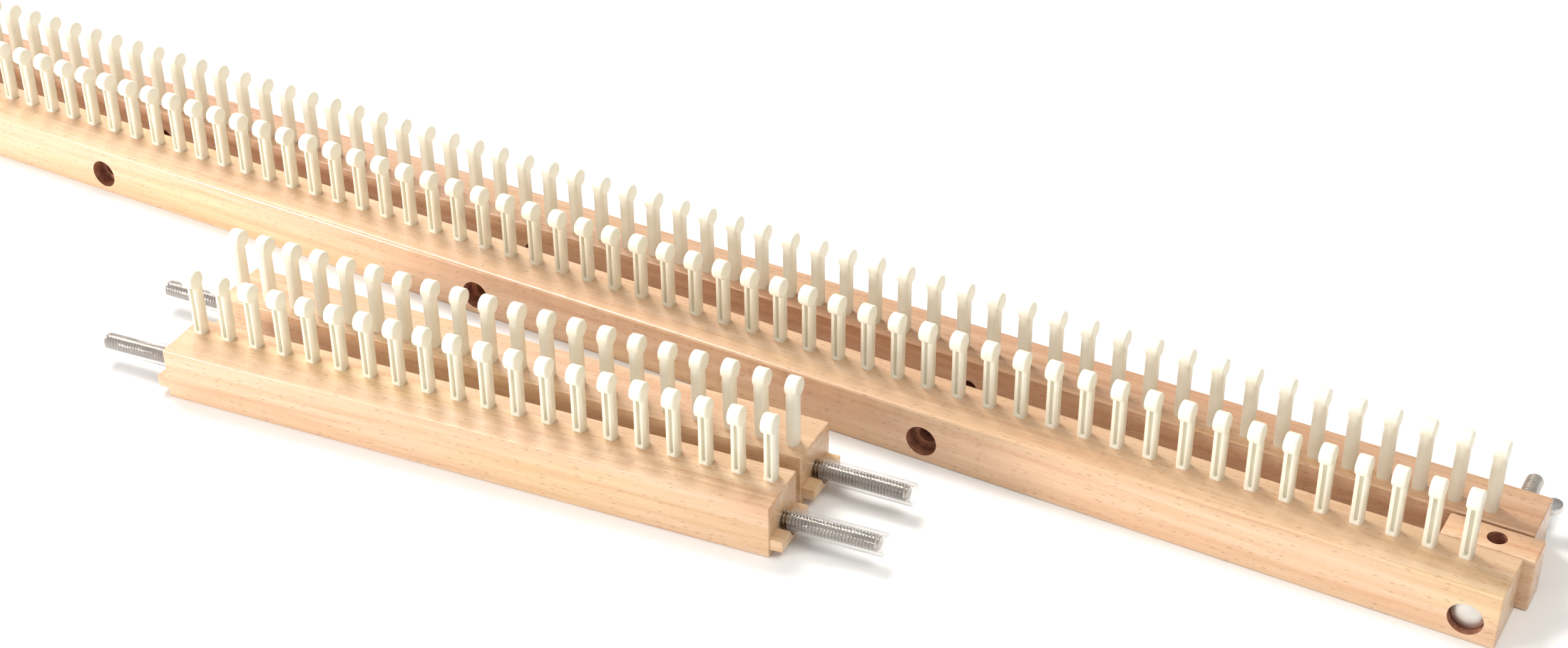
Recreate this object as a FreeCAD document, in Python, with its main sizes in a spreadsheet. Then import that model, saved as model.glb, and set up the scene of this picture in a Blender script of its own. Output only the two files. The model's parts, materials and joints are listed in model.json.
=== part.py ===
# Adjustable double-board knitting loom with a pair of loose extension boards.
# Millimetres. +Z is up, X runs along the loom and +Y runs from the front board to the rear board.
# The origin is on the table, under the middle of the front board's underside.
import FreeCAD, Part
import math
import os

import Sketcher

os.makedirs("parts", exist_ok=True)
doc = FreeCAD.newDocument("knitting_loom")

# ---------------------------------------------------------------------------------------------
# Driving dimensions
# ---------------------------------------------------------------------------------------------
INCH = 25.4
TOUCHING = 1e-6        # closer than this counts as the same place
LONG_EDGE_SHARE = 0.9  # an edge longer than this share of a board runs the board's whole length
LEAST_CUT = 1e-3       # a cut or a pattern that changes less volume than this has failed
DIMENSIONS = {
    # boards
    "peg_pitch": 0.5 * INCH,
    "board_width": 24.6,
    "board_height": 21.4,
    "board_gap": 14.6,
    "outer_edge_round": 1.6,
    "edge_round": 0.6,
    "end_round": 0.5,
    "main_peg_count": 64,
    "main_end_margin": 10.9,
    "extension_peg_count": 20,
    # pegs
    "peg_row_setback": 7.2,
    "peg_width": 4.8,
    "peg_depth": 5.2,
    "peg_front_round": 1.4,
    "peg_back_round": 2.1,
    "peg_head_radius": 3.8,
    "peg_head_height": 24.3,
    "peg_head_forward": 1.2,
    "peg_groove_width": 1.5,
    "peg_groove_depth": 1.6,
    "peg_groove_foot": 1.3,
    "peg_stem_radius": 2.0,
    "peg_stem_length": 11.5,
    "peg_hole_depth": 12.0,
    # bolts that clamp the two boards
    "bolt_height": 8.85,
    "bolt_radius": 0.125 * INCH,
    "bolt_length": 3.25 * INCH,
    "bolt_head_radius": 5.9,
    "bolt_head_height": 3.6,
    "bolt_head_rim": 2.4,
    "bolt_head_shoulder_radius": 4.25,
    "bolt_head_shoulder_height": 2.99,
    "bolt_neck_length": 3.2,
    "bolt_point_round": 0.8,
    "bolt_hole_radius": 3.5,
    "bolt_stations": 5,
    "bolt_station_pegs": 16,
    "counterbore_radius": 6.2,
    "counterbore_depth": 5.5,
    # spacer blocks
    "spacer_width": 13.4,
    "spacer_inward": 18.0,
    "spacer_outward": 15.2,
    "spacer_round": 1.0,
    "spacer_standoff": 0.2,
    # wing nuts
    "nut_bore_clearance": 0.05,
    "nut_base_radius": 6.2,
    "nut_top_radius": 5.0,
    "nut_hub_height": 8.0,
    "nut_rim_height": 1.6,
    "nut_saddle_radius": 3.5,
    "nut_saddle_height": 7.2,
    "nut_foot_radius": 4.3,
    "nut_foot_height": 0.8,
    "nut_wing_reach": 13.9,
    "nut_lobe_radius": 4.4,
    "nut_wing_top": 12.2,
    "nut_wing_thickness": 2.2,
    "nut_turn": 14.0,
    # extension boards
    "tongue_reach": 5.0,
    "tongue_base": 3.3,
    "tongue_thickness": 4.7,
    "rod_height": 9.0,
    "rod_radius": 0.125 * INCH,
    "rod_reach": 37.0,
    "rod_depth": 28.0,
    "rod_end_round": 0.6,
    "rod_hole_clearance": 0.02,
    "sleeve_wall": 1.2,
    "sleeve_clearance": 0.06,
    "sleeve_seat_clearance": 0.4,
    "sleeve_start": 3.2,
    "sleeve_end": 39.0,
    # where the two loose extension boards lie: centre and yaw in degrees
    "extension_front_x": 55.6,
    "extension_front_y": -91.6,
    "extension_front_yaw": 6.52,
    "extension_rear_x": 50.5,
    "extension_rear_y": -55.9,
    "extension_rear_yaw": 4.62,
}

sheet = doc.addObject("Spreadsheet::Sheet", "dims")
for row, (alias, number) in enumerate(DIMENSIONS.items(), start=1):
    sheet.set("A%d" % row, alias)
    sheet.set("B%d" % row, repr(float(number)))
    sheet.setAlias("B%d" % row, alias)
doc.recompute()


def dim(alias):
    """The value of one driving dimension."""
    return float(getattr(sheet, alias))


def bind(item, prop, formula):
    """Bind a property to a formula in the sheet's aliases, written as {alias}."""
    expression = formula
    for alias in DIMENSIONS:
        expression = expression.replace("{%s}" % alias, "dims.%s" % alias)
    item.setExpression(prop, expression)


# ---------------------------------------------------------------------------------------------
# Modelling helpers
# ---------------------------------------------------------------------------------------------
def new_body(label):
    body = doc.addObject("PartDesign::Body", label)
    body.Label = label
    return body


def settle(feature):
    """Recompute and stop at the first feature that fails."""
    doc.recompute()
    if "Invalid" in feature.State or feature.Shape.isNull():
        raise RuntimeError("%s did not compute" % feature.Label)
    return feature


def origin_plane(body, role):
    return [plane for plane in body.Origin.OriginFeatures if plane.Role == role][0]


def new_sketch(body, role, name, offset_formula=None):
    """A sketch on one of the body's own origin planes, moved along its normal by a formula."""
    sketch = body.newObject("Sketcher::SketchObject", name)
    sketch.AttachmentSupport = [(origin_plane(body, role), "")]
    sketch.MapMode = "FlatFace"
    if offset_formula:
        bind(sketch, "AttachmentOffset.Base.z", offset_formula)
        doc.recompute()
    return sketch


def constrain(sketch, kind, *places, formula=None, value=1.0):
    """Add a constraint, and bind it to a formula when it has one."""
    if formula is None:
        return sketch.addConstraint(Sketcher.Constraint(kind, *places))
    index = sketch.addConstraint(Sketcher.Constraint(kind, *places, value))
    bind(sketch, "Constraints[%d]" % index, formula)
    return index


def add_circle(sketch, radius_formula, u_formula, v_formula, radius, u, v):
    """A circle whose radius and centre are bound to formulas; the numbers are the first guess."""
    circle = sketch.addGeometry(Part.Circle(FreeCAD.Vector(u, v, 0), FreeCAD.Vector(0, 0, 1), radius), False)
    constrain(sketch, "Radius", circle, formula=radius_formula, value=radius)
    if abs(u) < TOUCHING:
        constrain(sketch, "PointOnObject", circle, 3, -2)
    else:
        constrain(sketch, "DistanceX", -1, 1, circle, 3, formula=u_formula, value=u)
    if abs(v) < TOUCHING:
        constrain(sketch, "PointOnObject", circle, 3, -1)
    else:
        constrain(sketch, "DistanceY", -1, 1, circle, 3, formula=v_formula, value=v)
    return circle


def add_rectangle(sketch, width_formula, height_formula, base_formula, width, height, base):
    """A rectangle centred on the sketch's vertical axis, standing on a bound base line."""
    half = width / 2
    corners = [(-half, base), (half, base), (half, base + height), (-half, base + height)]
    points = [FreeCAD.Vector(u, v, 0) for u, v in corners]
    first = sketch.GeometryCount
    for index in range(4):
        sketch.addGeometry(Part.LineSegment(points[index], points[(index + 1) % 4]), False)
    for index in range(4):
        constrain(sketch, "Coincident", first + index, 2, first + (index + 1) % 4, 1)
    constrain(sketch, "Horizontal", first + 2)
    constrain(sketch, "Vertical", first + 1)
    constrain(sketch, "Vertical", first + 3)
    constrain(sketch, "Symmetric", first, 1, first, 2, -2)
    constrain(sketch, "DistanceX", first, 1, first, 2, formula=width_formula, value=width)
    constrain(sketch, "DistanceY", first + 1, 1, first + 1, 2, formula=height_formula, value=height)
    if base_formula is None:
        constrain(sketch, "PointOnObject", first, 1, -1)
    else:
        constrain(sketch, "DistanceY", -1, 1, first, 1, formula=base_formula, value=base)
    return first


def new_pad(body, sketch, name, length_formula, both_ways=False, reverse=False):
    pad = body.newObject("PartDesign::Pad", name)
    pad.Profile = sketch
    bind(pad, "Length", length_formula)
    pad.Midplane = both_ways
    pad.Reversed = reverse
    return settle(pad)


def new_pocket(body, sketch, name, length_formula, both_ways=False, reverse=False):
    """A pocket, which has to cut something."""
    before = body.Shape.Volume
    pocket = body.newObject("PartDesign::Pocket", name)
    pocket.Profile = sketch
    bind(pocket, "Length", length_formula)
    pocket.Midplane = both_ways
    pocket.Reversed = reverse
    settle(pocket)
    if before - pocket.Shape.Volume < LEAST_CUT:
        raise RuntimeError("pocket %s cuts nothing" % name)
    return pocket


def new_row(body, feature, sketch, name, count_formula, span_formula):
    """Repeat a feature in a row along the sketch's horizontal axis."""
    before = feature.Shape.Volume
    pattern = body.newObject("PartDesign::LinearPattern", name)
    pattern.Originals = [feature]
    pattern.Direction = (sketch, ["H_Axis"])
    bind(pattern, "Length", span_formula)
    bind(pattern, "Occurrences", count_formula)
    body.Tip = pattern
    settle(pattern)
    if abs(before - pattern.Shape.Volume) < LEAST_CUT:
        raise RuntimeError("row %s repeats nothing" % name)
    return pattern


def new_mirror(body, features, name):
    """Mirror features in the plane across the body's length."""
    mirror = body.newObject("PartDesign::Mirrored", name)
    mirror.Originals = features
    mirror.MirrorPlane = (origin_plane(body, "YZ_Plane"), [""])
    body.Tip = mirror
    return settle(mirror)


def round_edges(body, feature, name, radius_formula, wanted):
    """Fillet the edges that a test picks."""
    names = ["Edge%d" % (index + 1) for index, edge in enumerate(feature.Shape.Edges) if wanted(edge)]
    if not names:
        raise RuntimeError("no edge to round in %s" % name)
    fillet = body.newObject("PartDesign::Fillet", name)
    fillet.Base = (feature, names)
    bind(fillet, "Radius", radius_formula)
    return settle(fillet)


def middle(edge):
    return edge.valueAt((edge.FirstParameter + edge.LastParameter) / 2)


# ---------------------------------------------------------------------------------------------
# Boards
# ---------------------------------------------------------------------------------------------
MAIN_SPAN = "({main_peg_count} - 1) * {peg_pitch}"
MAIN_LENGTH = "{main_peg_count} * {peg_pitch} + 2 * {main_end_margin}"
EXTENSION_SPAN = "({extension_peg_count} - 1) * {peg_pitch}"
EXTENSION_LENGTH = "{extension_peg_count} * {peg_pitch}"
ROW_OFFSET = "({board_width} / 2 - {peg_row_setback})"
BOLT_SPAN = "({bolt_stations} - 1) * {bolt_station_pegs} * {peg_pitch}"

main_span = (dim("main_peg_count") - 1) * dim("peg_pitch")
main_length = dim("main_peg_count") * dim("peg_pitch") + 2 * dim("main_end_margin")
extension_span = (dim("extension_peg_count") - 1) * dim("peg_pitch")
extension_length = dim("extension_peg_count") * dim("peg_pitch")
row_offset = dim("board_width") / 2 - dim("peg_row_setback")
bolt_span = (dim("bolt_stations") - 1) * dim("bolt_station_pegs") * dim("peg_pitch")


def make_board(label, length_formula, length, outer=0):
    """A bare board; outer is the sign of Y where its top edge has the large rounding, or 0 for none."""
    body = new_body(label)
    profile = new_sketch(body, "YZ_Plane", label + "_profile")
    add_rectangle(profile, "{board_width}", "{board_height}", None,
                  dim("board_width"), dim("board_height"), 0.0)
    pad = new_pad(body, profile, label + "_blank", length_formula, both_ways=True)

    def runs_along(edge):
        return abs(middle(edge).x) < TOUCHING and edge.Length > LONG_EDGE_SHARE * length

    def is_outer_top(edge):
        at_top = abs(middle(edge).z - dim("board_height")) < TOUCHING
        return at_top and abs(middle(edge).y - outer * dim("board_width") / 2) < TOUCHING

    def is_corner(edge):
        at_side = abs(abs(middle(edge).y) - dim("board_width") / 2) < TOUCHING
        at_face = min(abs(middle(edge).z), abs(middle(edge).z - dim("board_height"))) < TOUCHING
        return runs_along(edge) and at_side and at_face

    rounded = pad
    if outer:
        rounded = round_edges(body, rounded, label + "_outer_edge", "{outer_edge_round}",
                              lambda edge: runs_along(edge) and is_outer_top(edge))
    rounded = round_edges(body, rounded, label + "_long_edges", "{edge_round}", is_corner)
    round_edges(body, rounded, label + "_end_edges", "{end_round}",
                lambda edge: abs(abs(middle(edge).x) - length / 2) < TOUCHING)
    body.Tip = body.Group[-1]
    return body


def drill_peg_holes(body, label, span_formula, span, count_formula, side):
    """A row of blind peg holes in the top face, near the board's inner edge."""
    sketch = new_sketch(body, "XY_Plane", label + "_peg_hole", "{board_height}")
    add_circle(sketch, "{peg_stem_radius}", "-(%s) / 2" % span_formula, "%d * %s" % (side, ROW_OFFSET),
               dim("peg_stem_radius"), -span / 2, side * row_offset)
    hole = new_pocket(body, sketch, label + "_first_peg_hole", "{peg_hole_depth}")
    new_row(body, hole, sketch, label + "_peg_holes", count_formula, span_formula)


def drill_bolt_holes(body, label):
    """Five holes across the board for the clamping bolts."""
    sketch = new_sketch(body, "XZ_Plane", label + "_bolt_hole")
    add_circle(sketch, "{bolt_hole_radius}", "-(%s) / 2" % BOLT_SPAN, "{bolt_height}",
               dim("bolt_hole_radius"), -bolt_span / 2, dim("bolt_height"))
    hole = new_pocket(body, sketch, label + "_first_bolt_hole", "2 * {board_width}", both_ways=True)
    new_row(body, hole, sketch, label + "_bolt_holes", "{bolt_stations}", BOLT_SPAN)


def make_front_board():
    label = "front_board"
    body = make_board(label, MAIN_LENGTH, main_length, outer=-1)
    drill_peg_holes(body, label, MAIN_SPAN, main_span, "{main_peg_count}", 1)
    drill_bolt_holes(body, label)
    sketch = new_sketch(body, "XZ_Plane", label + "_counterbore", "{board_width} / 2")
    add_circle(sketch, "{counterbore_radius}", "-(%s) / 2" % BOLT_SPAN, "{bolt_height}",
               dim("counterbore_radius"), -bolt_span / 2, dim("bolt_height"))
    recess = new_pocket(body, sketch, label + "_first_counterbore", "{counterbore_depth}")
    new_row(body, recess, sketch, label + "_counterbores", "{bolt_stations}", BOLT_SPAN)
    return body


def make_rear_board():
    label = "rear_board"
    body = make_board(label, MAIN_LENGTH, main_length, outer=1)
    drill_peg_holes(body, label, MAIN_SPAN, main_span, "{main_peg_count}", -1)
    drill_bolt_holes(body, label)
    bind(body, "Placement.Base.y", "{board_width} + {board_gap}")
    return body


def make_extension_board(label, side):
    """A short board with a tongue and a rod hole in each end."""
    body = make_board(label, EXTENSION_LENGTH, extension_length)
    drill_peg_holes(body, label, EXTENSION_SPAN, extension_span, "{extension_peg_count}", side)
    tongue = new_sketch(body, "YZ_Plane", label + "_tongue_profile")
    add_rectangle(tongue, "{board_width} - 2 * {end_round}", "{tongue_thickness}", "{tongue_base}",
                  dim("board_width") - 2 * dim("end_round"), dim("tongue_thickness"), dim("tongue_base"))
    new_pad(body, tongue, label + "_tongues", EXTENSION_LENGTH + " + 2 * {tongue_reach}", both_ways=True)
    for name, radius_formula, depth_formula in (
            ("rod_hole", "{rod_radius} + {rod_hole_clearance}", "{rod_depth} + {tongue_reach}"),
            ("sleeve_seat", "{rod_radius} + {sleeve_clearance} + {sleeve_wall} + {sleeve_seat_clearance}",
             "{tongue_reach}")):
        outline = new_sketch(body, "YZ_Plane", "%s_%s_outline" % (label, name),
                             "-(%s) / 2 - {tongue_reach}" % EXTENSION_LENGTH)
        add_circle(outline, radius_formula, "0", "{rod_height}", dim("rod_radius"), 0.0, dim("rod_height"))
        cut = new_pocket(body, outline, "%s_%s" % (label, name), depth_formula, reverse=True)
        new_mirror(body, [cut], "%s_%ss" % (label, name))
    return body


# ---------------------------------------------------------------------------------------------
# Pegs
# ---------------------------------------------------------------------------------------------
def make_peg():
    """One moulded peg, standing at the origin on the board's top face, its groove facing -Y."""
    body = new_body("single_peg")
    stem = new_sketch(body, "XY_Plane", "peg_stem_circle")
    add_circle(stem, "{peg_stem_radius}", "0", "0", dim("peg_stem_radius"), 0.0, 0.0)
    new_pad(body, stem, "peg_stem", "{peg_stem_length}", reverse=True)

    shaft = new_sketch(body, "XY_Plane", "peg_shaft_outline")
    add_rectangle(shaft, "{peg_width}", "{peg_depth}", "-{peg_depth} / 2",
                  dim("peg_width"), dim("peg_depth"), -dim("peg_depth") / 2)
    shaft_pad = new_pad(body, shaft, "peg_shaft", "{peg_head_height}")

    def is_corner(edge, side):
        at_side = abs(abs(middle(edge).x) - dim("peg_width") / 2) < TOUCHING
        return at_side and abs(middle(edge).y - side * dim("peg_depth") / 2) < TOUCHING

    front_corners = round_edges(body, shaft_pad, "peg_front_corners", "{peg_front_round}",
                                lambda edge: is_corner(edge, -1))
    round_edges(body, front_corners, "peg_back_corners", "{peg_back_round}",
                lambda edge: is_corner(edge, 1))

    head = new_sketch(body, "YZ_Plane", "peg_head_circle")
    add_circle(head, "{peg_head_radius}", "-{peg_head_forward}", "{peg_head_height}",
               dim("peg_head_radius"), -dim("peg_head_forward"), dim("peg_head_height"))
    head_pad = new_pad(body, head, "peg_head", "{peg_width}", both_ways=True)

    groove = new_sketch(body, "XZ_Plane", "peg_groove_slot", "{peg_depth} / 2")
    width = dim("peg_groove_width")
    foot = dim("peg_groove_foot") + width / 2
    top = dim("peg_head_height")
    up = FreeCAD.Vector(0, 0, 1)
    foot_arc = groove.addGeometry(
        Part.ArcOfCircle(Part.Circle(FreeCAD.Vector(0, foot, 0), up, width / 2), math.pi, 2 * math.pi), False)
    right = groove.addGeometry(
        Part.LineSegment(FreeCAD.Vector(width / 2, foot, 0), FreeCAD.Vector(width / 2, top, 0)), False)
    cap = groove.addGeometry(
        Part.LineSegment(FreeCAD.Vector(width / 2, top, 0), FreeCAD.Vector(-width / 2, top, 0)), False)
    left = groove.addGeometry(
        Part.LineSegment(FreeCAD.Vector(-width / 2, top, 0), FreeCAD.Vector(-width / 2, foot, 0)), False)
    constrain(groove, "Tangent", foot_arc, 2, right, 1)
    constrain(groove, "Coincident", right, 2, cap, 1)
    constrain(groove, "Coincident", cap, 2, left, 1)
    constrain(groove, "Tangent", left, 2, foot_arc, 1)
    constrain(groove, "Vertical", right)
    constrain(groove, "Vertical", left)
    constrain(groove, "Horizontal", cap)
    constrain(groove, "PointOnObject", foot_arc, 3, -2)
    constrain(groove, "Radius", foot_arc, formula="{peg_groove_width} / 2", value=width / 2)
    constrain(groove, "DistanceY", -1, 1, foot_arc, 3,
              formula="{peg_groove_foot} + {peg_groove_width} / 2", value=foot)
    constrain(groove, "DistanceY", -1, 1, cap, 1,
              formula="{peg_head_height} - {peg_head_radius}", value=top)
    new_pocket(body, groove, "peg_groove", "{peg_groove_depth}")
    body.Tip = body.Group[-1]
    return body


def make_peg_row(label, peg, count, side, board_placement):
    """A row of separate pegs in one board; side is +1 when the grooves face -Y."""
    span = (count - 1) * dim("peg_pitch")
    turn = 0.0 if side > 0 else 180.0
    pegs = []
    for index in range(count):
        place = FreeCAD.Vector(index * dim("peg_pitch") - span / 2, side * row_offset, dim("board_height"))
        spot = FreeCAD.Placement(place, FreeCAD.Rotation(FreeCAD.Vector(0, 0, 1), turn))
        pegs.append(peg.Shape.transformed(board_placement.multiply(spot).toMatrix()))
    row = doc.addObject("Part::Feature", label)
    row.Label = label
    row.Shape = Part.makeCompound(pegs)
    row.Placement = FreeCAD.Placement()
    return row


# ---------------------------------------------------------------------------------------------
# Clamping hardware
# ---------------------------------------------------------------------------------------------
def place_on_bolt(body, end, y_formula):
    """Put a piece that is drawn about the bolt's axis at one end of the loom; end is +1 or -1."""
    bind(body, "Placement.Base.x", "%d * (%s) / 2" % (end, BOLT_SPAN))
    bind(body, "Placement.Base.y", y_formula)
    bind(body, "Placement.Base.z", "{bolt_height}")


def make_bolt(label, end):
    """A carriage bolt along +Y: domed head, square neck and shank. Its origin is under the head."""
    body = new_body(label)
    shank = new_sketch(body, "XZ_Plane", label + "_shank_circle")
    add_circle(shank, "{bolt_radius}", "0", "0", dim("bolt_radius"), 0.0, 0.0)
    new_pad(body, shank, label + "_shank", "{bolt_length}", reverse=True)
    neck = new_sketch(body, "XZ_Plane", label + "_neck_square")
    add_rectangle(neck, "2 * {bolt_radius}", "2 * {bolt_radius}", "-{bolt_radius}",
                  2 * dim("bolt_radius"), 2 * dim("bolt_radius"), -dim("bolt_radius"))
    neck_pad = new_pad(body, neck, label + "_neck", "{bolt_neck_length}", reverse=True)
    radius = dim("bolt_head_radius")
    rise = dim("bolt_head_height")
    rim = dim("bolt_head_rim")
    outline = new_sketch(body, "XY_Plane", label + "_head_outline")
    crown = FreeCAD.Vector(0, -rise, 0)
    shoulder = FreeCAD.Vector(dim("bolt_head_shoulder_radius"), -dim("bolt_head_shoulder_height"), 0)
    rim_top = FreeCAD.Vector(radius, -rim, 0)
    rim_foot = FreeCAD.Vector(radius, 0, 0)
    centre = FreeCAD.Vector(0, 0, 0)
    outline.addGeometry(Part.Arc(crown, shoulder, rim_top), False)
    outline.addGeometry(Part.LineSegment(rim_top, rim_foot), False)
    outline.addGeometry(Part.LineSegment(rim_foot, centre), False)
    outline.addGeometry(Part.LineSegment(centre, crown), False)
    constrain(outline, "Coincident", 1, 2, 2, 1)
    constrain(outline, "Coincident", 2, 2, 3, 1)
    constrain(outline, "Coincident", 3, 1, -1, 1)
    constrain(outline, "Horizontal", 2)
    constrain(outline, "Vertical", 1)
    constrain(outline, "Vertical", 3)
    constrain(outline, "DistanceX", 3, 1, 2, 1, formula="{bolt_head_radius}", value=radius)
    constrain(outline, "DistanceY", 3, 2, 3, 1, formula="{bolt_head_height}", value=rise)
    head = body.newObject("PartDesign::Revolution", label + "_head")
    head.Profile = outline
    head.ReferenceAxis = (outline, ["V_Axis"])
    head.Angle = 360
    body.Tip = head
    doc.recompute()
    round_edges(body, head, label + "_point", "{bolt_point_round}",
                lambda edge: abs(middle(edge).y - dim("bolt_length")) < TOUCHING)
    body.Tip = body.Group[-1]
    if head.Shape.Volume <= neck_pad.Shape.Volume:
        raise RuntimeError("the bolt head adds nothing")
    place_on_bolt(body, end, "{counterbore_depth} - {board_width} / 2")
    return body


def draw_wing(body, label):
    """One wing's outline: a round lobe with two straight sides that run tangent into the hub."""
    lobe = dim("nut_lobe_radius")
    centre = FreeCAD.Vector(dim("nut_wing_reach") - lobe, dim("nut_wing_top") - lobe, 0)
    saddle = FreeCAD.Vector(dim("nut_saddle_radius"), dim("nut_saddle_height"), 0)
    foot = FreeCAD.Vector(dim("nut_foot_radius"), dim("nut_foot_height"), 0)

    def tangent_angle(point, turn):
        away = point.sub(centre)
        return math.atan2(away.y, away.x) + turn * math.acos(lobe / away.Length)

    low, high = tangent_angle(foot, 1), tangent_angle(saddle, -1)
    wing = new_sketch(body, "XY_Plane", label + "_wing_outline")
    circle = Part.Circle(centre, FreeCAD.Vector(0, 0, 1), lobe)
    wing.addGeometry(Part.ArcOfCircle(circle, low, high), False)
    ends = [centre.add(FreeCAD.Vector(lobe * math.cos(a), lobe * math.sin(a), 0)) for a in (low, high)]
    wing.addGeometry(Part.LineSegment(ends[1], saddle), False)
    wing.addGeometry(Part.LineSegment(saddle, foot), False)
    wing.addGeometry(Part.LineSegment(foot, ends[0]), False)
    constrain(wing, "Tangent", 0, 2, 1, 1)
    constrain(wing, "Coincident", 1, 2, 2, 1)
    constrain(wing, "Coincident", 2, 2, 3, 1)
    constrain(wing, "Tangent", 3, 2, 0, 1)
    constrain(wing, "Radius", 0, formula="{nut_lobe_radius}", value=lobe)
    constrain(wing, "DistanceX", -1, 1, 0, 3, formula="{nut_wing_reach} - {nut_lobe_radius}", value=centre.x)
    constrain(wing, "DistanceY", -1, 1, 0, 3, formula="{nut_wing_top} - {nut_lobe_radius}", value=centre.y)
    constrain(wing, "DistanceX", -1, 1, 2, 1, formula="{nut_saddle_radius}", value=saddle.x)
    constrain(wing, "DistanceY", -1, 1, 2, 1, formula="{nut_saddle_height}", value=saddle.y)
    constrain(wing, "DistanceX", -1, 1, 2, 2, formula="{nut_foot_radius}", value=foot.x)
    constrain(wing, "DistanceY", -1, 1, 2, 2, formula="{nut_foot_height}", value=foot.y)
    return wing


def make_wing_nut(label, end):
    """A wing nut on the bolt, its base against the rear board's back face at y = 0 of the body."""
    body = new_body(label)
    outline = new_sketch(body, "XY_Plane", label + "_hub_outline")
    base, top, height = dim("nut_base_radius"), dim("nut_top_radius"), dim("nut_hub_height")
    rim = dim("nut_rim_height")
    points = [(0, 0), (base, 0), (base, rim), (top, height), (0, height)]
    corners = [FreeCAD.Vector(u, v, 0) for u, v in points]
    for index in range(5):
        outline.addGeometry(Part.LineSegment(corners[index], corners[(index + 1) % 5]), False)
    for index in range(5):
        constrain(outline, "Coincident", index, 2, (index + 1) % 5, 1)
    constrain(outline, "Coincident", 0, 1, -1, 1)
    constrain(outline, "Horizontal", 0)
    constrain(outline, "Vertical", 1)
    constrain(outline, "Horizontal", 3)
    constrain(outline, "Vertical", 4)
    constrain(outline, "DistanceX", 0, 1, 0, 2, formula="{nut_base_radius}", value=base)
    constrain(outline, "DistanceX", 3, 2, 3, 1, formula="{nut_top_radius}", value=top)
    constrain(outline, "DistanceY", 4, 2, 4, 1, formula="{nut_hub_height}", value=height)
    constrain(outline, "DistanceY", 1, 1, 1, 2, formula="{nut_rim_height}", value=rim)
    hub = body.newObject("PartDesign::Revolution", label + "_hub")
    hub.Profile = outline
    hub.ReferenceAxis = (outline, ["V_Axis"])
    hub.Angle = 360
    body.Tip = hub
    doc.recompute()

    right_wing = new_pad(body, draw_wing(body, label), label + "_right_wing", "{nut_wing_thickness}",
                         both_ways=True)
    new_mirror(body, [right_wing], label + "_both_wings")
    hole = new_sketch(body, "XZ_Plane", label + "_bore_circle")
    add_circle(hole, "{bolt_radius} + {nut_bore_clearance}", "0", "0", dim("bolt_radius"), 0.0, 0.0)
    new_pocket(body, hole, label + "_bore", "4 * {nut_hub_height}", both_ways=True)
    body.Tip = body.Group[-1]
    body.Placement.Rotation = FreeCAD.Rotation(FreeCAD.Vector(0, 1, 0), -dim("nut_turn"))
    place_on_bolt(body, end, "1.5 * {board_width} + {board_gap}")
    return body


def make_spacer(label, end):
    """A spacer block with one hole across it for the bolt and one from top to bottom."""
    body = new_body(label)
    blank = new_sketch(body, "XZ_Plane", label + "_side_outline")
    inward, outward = dim("spacer_inward"), dim("spacer_outward")
    near, far = (-inward, outward) if end > 0 else (-outward, inward)
    bottom, top = -dim("bolt_height"), dim("board_height") - dim("bolt_height")
    corners = [FreeCAD.Vector(u, v, 0) for u, v in ((near, bottom), (far, bottom), (far, top), (near, top))]
    for index in range(4):
        blank.addGeometry(Part.LineSegment(corners[index], corners[(index + 1) % 4]), False)
    for index in range(4):
        constrain(blank, "Coincident", index, 2, (index + 1) % 4, 1)
    constrain(blank, "Horizontal", 0)
    constrain(blank, "Vertical", 1)
    constrain(blank, "Horizontal", 2)
    constrain(blank, "Vertical", 3)
    left_formula, right_formula = ("{spacer_inward}", "{spacer_outward}")
    if end < 0:
        left_formula, right_formula = right_formula, left_formula
    constrain(blank, "DistanceX", 0, 1, -1, 1, formula=left_formula, value=-near)
    constrain(blank, "DistanceX", -1, 1, 0, 2, formula=right_formula, value=far)
    constrain(blank, "DistanceY", 0, 1, -1, 1, formula="{bolt_height}", value=-bottom)
    constrain(blank, "DistanceY", -1, 1, 2, 1, formula="{board_height} - {bolt_height}", value=top)
    pad = new_pad(body, blank, label + "_blank", "{spacer_width}", both_ways=True)
    round_edges(body, pad, label + "_edges", "{spacer_round}", lambda edge: True)
    across = new_sketch(body, "XZ_Plane", label + "_bolt_hole_circle")
    add_circle(across, "{bolt_hole_radius}", "0", "0", dim("bolt_hole_radius"), 0.0, 0.0)
    new_pocket(body, across, label + "_bolt_hole", "2 * {spacer_width}", both_ways=True)
    upright = new_sketch(body, "XY_Plane", label + "_upright_hole_circle")
    add_circle(upright, "{bolt_hole_radius}", "0", "0", dim("bolt_hole_radius"), 0.0, 0.0)
    new_pocket(body, upright, label + "_upright_hole", "3 * {board_height}", both_ways=True)
    body.Tip = body.Group[-1]
    place_on_bolt(body, end, "({board_width} + {spacer_width}) / 2 + {spacer_standoff}")
    return body


# ---------------------------------------------------------------------------------------------
# Rods and sleeves of the extension boards
# ---------------------------------------------------------------------------------------------
def make_rod(label, end, board):
    """A threaded rod set in one end of an extension board, drawn at its major diameter."""
    body = new_body(label)
    circle = new_sketch(body, "YZ_Plane", label + "_circle")
    add_circle(circle, "{rod_radius}", "0", "0", dim("rod_radius"), 0.0, 0.0)
    pad = new_pad(body, circle, label + "_shank", "{rod_depth} + {rod_reach}")
    tip = dim("rod_depth") + dim("rod_reach")
    round_edges(body, pad, label + "_ends", "{rod_end_round}",
                lambda edge: min(abs(middle(edge).x), abs(middle(edge).x - tip)) < TOUCHING)
    body.Tip = body.Group[-1]
    set_in_end(body, end, board, extension_length / 2 - dim("rod_depth"))
    return body


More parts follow.
